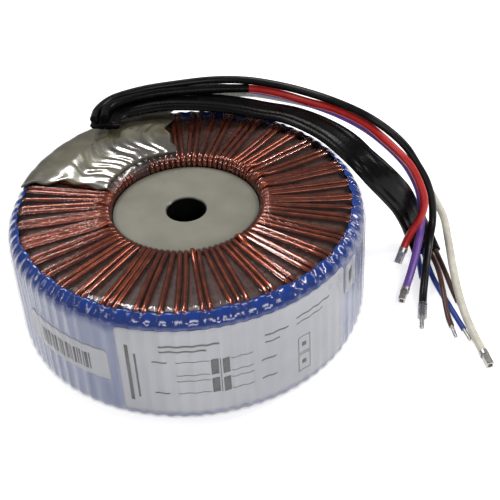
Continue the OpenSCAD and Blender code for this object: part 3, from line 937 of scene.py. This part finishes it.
# ---------------------------------------------------------------- leads
@dataclass
class Lead:
    """A flying lead: a round insulated wire along the route of its colour and number."""

    colour: str
    number: str
    finish: Finish
    diameter: float
    ends: list[str] = field(default_factory=list)
    declared: bool = True
    covered: int = 0

    @property
    def name(self) -> str:
        """The piece's name."""
        return f"{self.colour}_lead{self.number}"

    @property
    def route(self) -> list[list[float]]:
        """The points that the wire passes through."""
        return ROUTES[self.colour + self.number]

    def sleeving(self) -> bpy.types.Object:
        """Makes the black sleeving over the lead's first stretch, a slightly wider tube on the same route.

        Returns:
            The sleeving.
        """
        pts = smooth_route(self.route[:self.covered], 6)
        pts[0] -= unit(pts[1] - pts[0]) * 0.5
        return dressed(tube(self.name + "_sleeving", pts, self.diameter / 2 + 0.25, SLEEVE.build()), "sleeve_black")

    def build(self) -> bpy.types.Object:
        """Returns:
            The wire.
        """
        pts = smooth_route(self.route, 6)
        wire = tube(self.name, pts, self.diameter / 2, self.finish.build())
        obj = dressed(wire, "lead_" + self.colour, f"lead_{self.colour}{self.number}")
        over = [self.sleeving()] if self.covered else []
        return obj


ROUTES: dict[str, list[list[float]]] = {
    "black": [
        [-31.5, 37.5, 53.2], [-30.5, 44, 53.2], [-25.5, 50.5, 53.5], [-15, 55.5, 53.5], [-3, 58, 53.5],
        [10, 59.5, 53.5], [22, 58, 53.5], [33, 53.5, 53.5], [43, 47.5, 53.5], [53, 40.5, 53],
        [62.5, 34.5, 50.8], [70.5, 31.2, 46], [76.5, 29.5, 40], [80.5, 28, 33.5], [83.8, 26, 27.5],
        [85.8, 24, 20.5], [86, 21, 13.5], [84.2, 15.5, 8.5], [82, 7, 5.5], [80, -1.5, 3.6], [78.9, -6.5, 2.5],
        [78.1, -10.8, 2.15]],
    "red": [
        [-28, 38, 53.3], [-27, 44.5, 53.2], [-21, 49.3, 53], [-11, 53.2, 52.7], [0, 55.5, 52], [12, 57.3, 51],
        [23, 57, 50.6], [33, 53, 50.5], [43, 46.5, 50.3], [53, 40.5, 49.9], [62.5, 34.5, 47.4],
        [69.5, 28.8, 43.2], [74.6, 26, 38.8], [78, 25, 34.5], [81, 23, 28.5], [82.6, 21, 22.5],
        [81.3, 18.8, 17.2], [78.4, 17.9, 12], [76.6, 17.2, 8.4], [75.3, 15.7, 6]],
    "violet": [
        [-28.8, 49.8, 46.4], [-23, 54.5, 47.3], [-14, 59.8, 48.3], [-3, 62.5, 48.5], [10, 62.7, 48.3],
        [22, 60.2, 48.3], [33, 55.7, 48.2], [43, 49.5, 48], [53.5, 42, 47.3], [62.5, 36.5, 44.4],
        [69.5, 32, 40.2], [75.5, 29, 34.5], [79.2, 27.6, 28.5], [81.3, 25.3, 23.4], [82.2, 22.4, 17.4],
        [81.4, 18.8, 10.6], [78.9, 11.5, 6.2], [76.6, 5.6, 3.7], [74.8, 1.3, 2.4], [73.5, -2, 2]],
    "white": [
        [-17, 55.2, 46.2], [-9, 59.2, 45.6], [0, 61.6, 45.2], [12, 63.5, 45.2], [24, 62.2, 45.4],
        [35, 57.5, 45.5], [45.5, 51.5, 45.8], [56, 47.5, 44.5], [63, 44.3, 41.8], [69.5, 41, 37.5],
        [75.5, 38, 32], [80.5, 35.8, 26.5], [85, 34.3, 20.5], [88.7, 31.5, 14.5], [91.3, 27, 9.8],
        [91.5, 17, 6.8], [91, 5, 5], [90.8, -8, 3.8], [91.3, -18, 3], [92.5, -27, 2.3], [94, -35, 1.8]],
    "brown_1": [
        [85.1, 18.3, 1.55], [86, 11, 2.4], [86.1, 3, 3.6], [85.8, -5, 3.9], [85.7, -12, 2.6], [85.8, -17, 1.4],
        [86.2, -21.3, 1.15]],
    "brown_2": [
        [87.4, 18.6, 1.55], [88.2, 13, 1.2], [89, 6, 1], [89.7, -2, 1], [90.5, -9, 1]],
    "blue_1": [
        [83, 18, 1.55], [83.5, 11, 1.2], [84.2, 4, 1], [85.5, -3, 1], [87.5, -12, 1], [90, -23, 1]],
    "blue_2": [
        [80.7, 17.7, 1.55], [80.6, 13, 1.2], [80.4, 9, 1], [80.2, 4.5, 1]],
}


def make_leads() -> None:
    for lead in (
        Lead("black", "", BLACK_PVC, 2.8, ["clear_tube", "tinned_tip_black"]),
        Lead("red", "", RED_PVC, 2.8, ["ferrule_red"], covered=7),
        Lead("violet", "", VIOLET_PVC, 2.8, ["ferrule_violet"], covered=6),
        Lead("white", "", WHITE_PVC, 2.8, ["ferrule_white"]),
        Lead("brown", "_1", BROWN_PVC, 1.9, ["tinned_tips"]),
        Lead("brown", "_2", BROWN_PVC, 1.9),
        Lead("blue", "_1", BLUE_PVC, 1.9),
        Lead("blue", "_2", BLUE_PVC, 1.9, declared=False),
    ):
        lead.build()


@dataclass
class FlatSleeve:
    """The flat black sleeve over the four primary leads."""

    width: float = 10.6
    thick: float = 2.9
    around: int = 72
    route: tuple[Point, ...] = (
        (-28, 37.5, 50.2), (-27, 43.5, 50.2), (-22, 48.2, 50), (-12, 51.6, 49.8), (-2, 52.8, 49.2),
        (9, 52.5, 48.2), (19, 51, 47.2), (28, 48, 46.5), (36.5, 44.5, 46.4), (44, 38.5, 46.4), (50.5, 31, 46.4),
        (55.5, 24, 45.6), (60, 18.5, 43.2), (65, 16.3, 38.2), (70, 17.2, 31.5), (74.5, 20.4, 23.5),
        (78.2, 23.5, 14.5), (80.8, 25, 8), (82.6, 24.2, 3.8), (83.6, 21.5, 1.9), (84, 18.5, 1.55))
    across: tuple[Point, ...] = (
        (-1, 0, 0), (-1, 0.3, 0), (-0.5, 0.9, 0), (-0.2, 1, 0), (0, 1, 0), (0.15, 1, 0), (0.35, 1, 0),
        (0.5, 0.9, 0), (0.6, 0.8, 0), (0.75, 0.65, 0.05), (0.8, 0.5, 0.1), (0.8, 0.6, 0.2), (0.7, 0.6, 0.2),
        (0.8, 0.5, 0.3), (0.9, 0.4, 0.3), (0.8, 0.6, 0.2), (0.75, 0.65, 0.1), (0.85, 0.5, 0.1),
        (0.9, 0.35, 0.05), (0.95, 0.25, 0), (0.95, 0.15, 0))

    def build(self) -> bpy.types.Object:
        """Sweeps a flat oval whose faces show the four wires inside as shallow lengthwise swells.

        Returns:
            The closed sleeve.
        """
        pts = smooth_route(self.route, 8)
        side = smooth_route(self.across, 8)
        tangent = unit(np.gradient(pts, axis=0))
        side = unit(side - (side * tangent).sum(1, keepdims=True) * tangent)
        over = np.cross(tangent, side)
        k = np.linspace(0, 2 * math.pi, self.around, endpoint=False)
        x = self.width / 2 * np.sign(np.cos(k)) * np.abs(np.cos(k)) ** 0.6
        y = self.thick / 2 * np.sign(np.sin(k)) * np.abs(np.sin(k)) ** 0.75
        y = y * (0.9 + 0.1 * np.cos(2 * math.pi * x / (self.width / 4) + math.pi))
        rings = pts[:, None] + x[None, :, None] * side[:, None] + y[None, :, None] * over[:, None]
        small = [ring.mean(0) + (ring - ring.mean(0)) * 0.02 for ring in (rings[0], rings[-1])]
        grid = np.concatenate([small[0][None], rings, small[1][None]])
        quads = grid_quads(len(grid), self.around, wrap_cols=True)
        last = (len(grid) - 1) * self.around
        caps = [list(range(self.around))[::-1], list(range(last, last + self.around))]
        piece = outward(put("primary_flat_sleeve", grid, quads, SLEEVE.build(), caps))
        dressed(piece, "sleeve_black", "primary_sleeve")
        return piece


# ---------------------------------------------------------------- scene
@dataclass
class Studio:
    """Camera, floor and lamps."""

    lens: float = 79.19
    target: Point = (20.15, 0.0, 21.47)
    elevation: float = 38.9
    distance: float = 372.5
    roll: float = -3.17
    floor_glow: float = 0.62
    sky: float = 0.26
    aim: Point = (0.0, 0.0, 0.02)

    def camera(self) -> None:
        """Places the camera: back from the target along its elevation, then rolled about its own axis."""
        e = math.radians(self.elevation)
        t = Vector(self.target) * MM
        place = t + Vector((0, -math.cos(e), math.sin(e))) * self.distance * MM
        data = bpy.data.cameras.new("view_camera")
        data.lens, data.sensor_width = self.lens, 36.0
        data.clip_start, data.clip_end = 0.01, 20.0
        cam = placed("view_camera", data)
        look = (t - place).to_track_quat("-Z", "Y").to_matrix().to_4x4()
        cam.matrix_world = Matrix.Translation(place) @ look @ Matrix.Rotation(math.radians(self.roll), 4, "Z")
        bpy.context.scene.camera = cam

    def area(self, name: str, place: Point, size: tuple[float, float], power: float) -> None:
        """Adds one soft rectangular lamp, aimed at the ring.

        Args:
            name: its name.
            place: where it stands, in metres.
            size: its two sides, in metres.
            power: in watts.
        """
        data = bpy.data.lights.new(name, "AREA")
        data.shape, data.size, data.size_y, data.energy = "RECTANGLE", size[0], size[1], power
        lamp = placed(name, data)
        lamp.location = place
        lamp.rotation_euler = (Vector(self.aim) - Vector(place)).to_track_quat("-Z", "Y").to_euler()

    def surroundings(self) -> None:
        """Makes the white floor and sky; a ray that sees them directly finds plain white."""
        mesh = bpy.data.meshes.new("floor")
        mesh.from_pydata([(-4, -4, -2e-5), (4, -4, -2e-5), (4, 4, -2e-5), (-4, 4, -2e-5)], [], [(0, 1, 2, 3)])
        floor = placed("floor", mesh)
        tree = Tree(bpy.data.materials.new("floor_white"))
        tree.feed(tree.shader, {"Base Color": (0.9, 0.9, 0.9, 1), "Roughness": 0.9})
        rays = tree.add("LightPath")
        seen = tree.add("Math", {0: rays.outputs["Is Camera Ray"], 1: rays.outputs["Is Glossy Ray"]},
                        operation="MAXIMUM")
        power = tree.add("Math", {0: seen.outputs["Value"], 1: self.floor_glow}, operation="MULTIPLY")
        glow = tree.add("Emission", {"Strength": power.outputs["Value"]})
        both = tree.add("AddShader", {0: tree.shader.outputs["BSDF"], 1: glow.outputs["Emission"]})
        tree.feed(tree.nodes["Material Output"], {"Surface": both.outputs["Shader"]})
        mesh.materials.append(tree.material)
        world = bpy.data.worlds.new("studio_world")
        bpy.context.scene.world = world
        world.use_nodes = True
        nodes, links = world.node_tree.nodes, world.node_tree.links
        back = nodes["Background"]
        back.inputs["Color"].default_value = (1, 1, 1, 1)
        path = nodes.new("ShaderNodeLightPath")
        span = nodes.new("ShaderNodeMapRange")
        span.inputs["To Min"].default_value = self.sky
        span.inputs["To Max"].default_value = 1.0
        links.new(path.outputs["Is Camera Ray"], span.inputs["Value"])
        links.new(span.outputs["Result"], back.inputs["Strength"])

    def build(self) -> None:
        """Sets up the view, the stage and the lamps."""
        self.camera()
        self.surroundings()
        self.area("key_lamp", (-0.25, 0.35, 0.75), (0.5, 0.10), 3.3)
        self.area("front_lamp", (0.2, -0.7, 0.45), (0.6, 0.14), 2.1)
        self.area("strip_lamp", (0.55, 0.1, 0.45), (0.05, 0.5), 2.0)
        self.area("left_lamp", (-0.6, -0.15, 0.4), (0.04, 0.45), 0.5)
        bpy.context.scene.view_settings.view_transform = "Standard"


def rating_marks() -> list[Mark]:
    """Lays out the rating label's generic print: a winding diagram, fuse boxes and plain rules.

    Returns:
        Left, right, low and high of each mark, in millimetres.
    """
    marks = [(28, 30.3, 21.2, 27.4), (31.5, 33.7, 21.1, 27.2), (28, 30.3, 13.7, 19.7), (31.5, 33.7, 13.5, 19.4)]
    marks += [(17.5, 27.6, z, z + 0.25) for z in (27.0, 21.6, 19.2, 14.1)]
    marks += [(34.0, 41.0, z, z + 0.25) for z in (26.6, 21.5, 18.8, 14.0)]
    marks += [(30.75, 31.0, 13.5, 27.4)]
    for low, high in ((17.6, 24.2), (10.2, 16.8)):
        marks += [(56.4, 61.2, low, low + 0.25), (56.4, 61.2, high, high + 0.25), (56.4, 56.65, low, high),
                  (60.95, 61.2, low, high), (58.0, 59.6, low + 2.6, high - 2.4)]
    marks += [(13, 31, 33.2, 33.9), (13, 27, 31.2, 31.8), (45, 53, 31.4, 32.0), (45, 50, 28.6, 29.1),
              (56, 70, 33.0, 33.5),
              (56, 67, 30.6, 31.0), (43.5, 48.5, 21.9, 22.4), (43.5, 48.5, 14.4, 14.9), (10.5, 15, 26.9, 27.4),
              (10.5, 15, 14.0, 14.5), (2.5, 3.6, 10, 33), (5.2, 5.8, 12, 30)]
    return marks


def bar_marks() -> list[Mark]:
    """Lays out plain upright bars of three widths, in a repeating order.

    Returns:
        Left, right, low and high of each bar, in millimetres.
    """
    widths = (0.4, 0.7, 0.4, 1.0, 0.4, 0.4, 0.7) * 5
    marks, at = [], 6.0
    for k, w in enumerate(widths):
        if at + w > 28:
            break
        marks.append((at, at + w, 18.6, 25.2))
        at += w + (0.45 if k % 3 else 0.8)
    return marks


def main() -> None:
    """Builds the whole object."""
    logging.basicConfig(level=logging.INFO)
    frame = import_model()
    Studio().build()
    make_leads()
    FlatSleeve().build()
    ring = RingSizes()
    copper = COPPER.build()
    wires = Secondaries(ring)
    dressed(wires.build(0, "secondary_wire_1", copper), "copper_wire", "secondary_1")
    dressed(wires.build(1, "secondary_wire_2", copper), "copper_wire", "secondary_2")
    cover = Coverings(ring)
    paper, ink = LABEL.build(), INK.build()
    dressed(cover.band(BandFinish().build()), "band_blue", "blue_band")
    dressed(cover.label("rating_label_sheet", -111, 78, 5.5, 39.5, paper), "label_silver", "rating_label")
    dressed(cover.label("bar_label_sheet", -148, 34, 16.5, 28.5, paper), "label_white", "bar_label")
    dressed(cover.label("small_label_sheet", -32, 7.5, 26, 37.5, paper, 0.8), "label_white", "small_label")
    dressed(cover.print_on("rating_print", -111, rating_marks(), ink), "label_silver")
    dressed(cover.print_on("bar_print", -148, bar_marks(), ink), "label_white")
    dressed(cover.print_on("small_print", -32, [(2.2, 5.0, 29.5, 34.5)], ink), "label_white")
    dressed(cover.film(CLEAR_FILM.build()), "film_clear", "clear_wrap")
    pad, skin = Padding(ring).build(PADDING.build(), PAD_FILM.build())
    dressed(pad, "padding", "lead_pad")
    dressed(skin, "film_clear", "pad_film")
    finishes = {"core": STEEL, "core_film_wrap": YELLOW_FILM, "primary_1": FINE_COPPER, "primary_2": FINE_COPPER,
                "inter_wrap": DARK_FILM, "thermal_cutouts": CUTOUT, "potting": RESIN, "ferrule_red": TIN,
                "ferrule_violet": TIN, "ferrule_white": TIN, "clear_tube": CLEAR_TUBE, "tinned_tip_black": TIN,
                "tinned_tips": TIN}
    made = {finish.name: finish.build() for finish in finishes.values()}
    for node, finish in finishes.items():
        obj = frame["nodes"][node]
        for place in obj.material_slots:
            place.material = made[finish.name]
        LOG.info("dressed node %s", node)


if __name__ == "__main__":
    main()
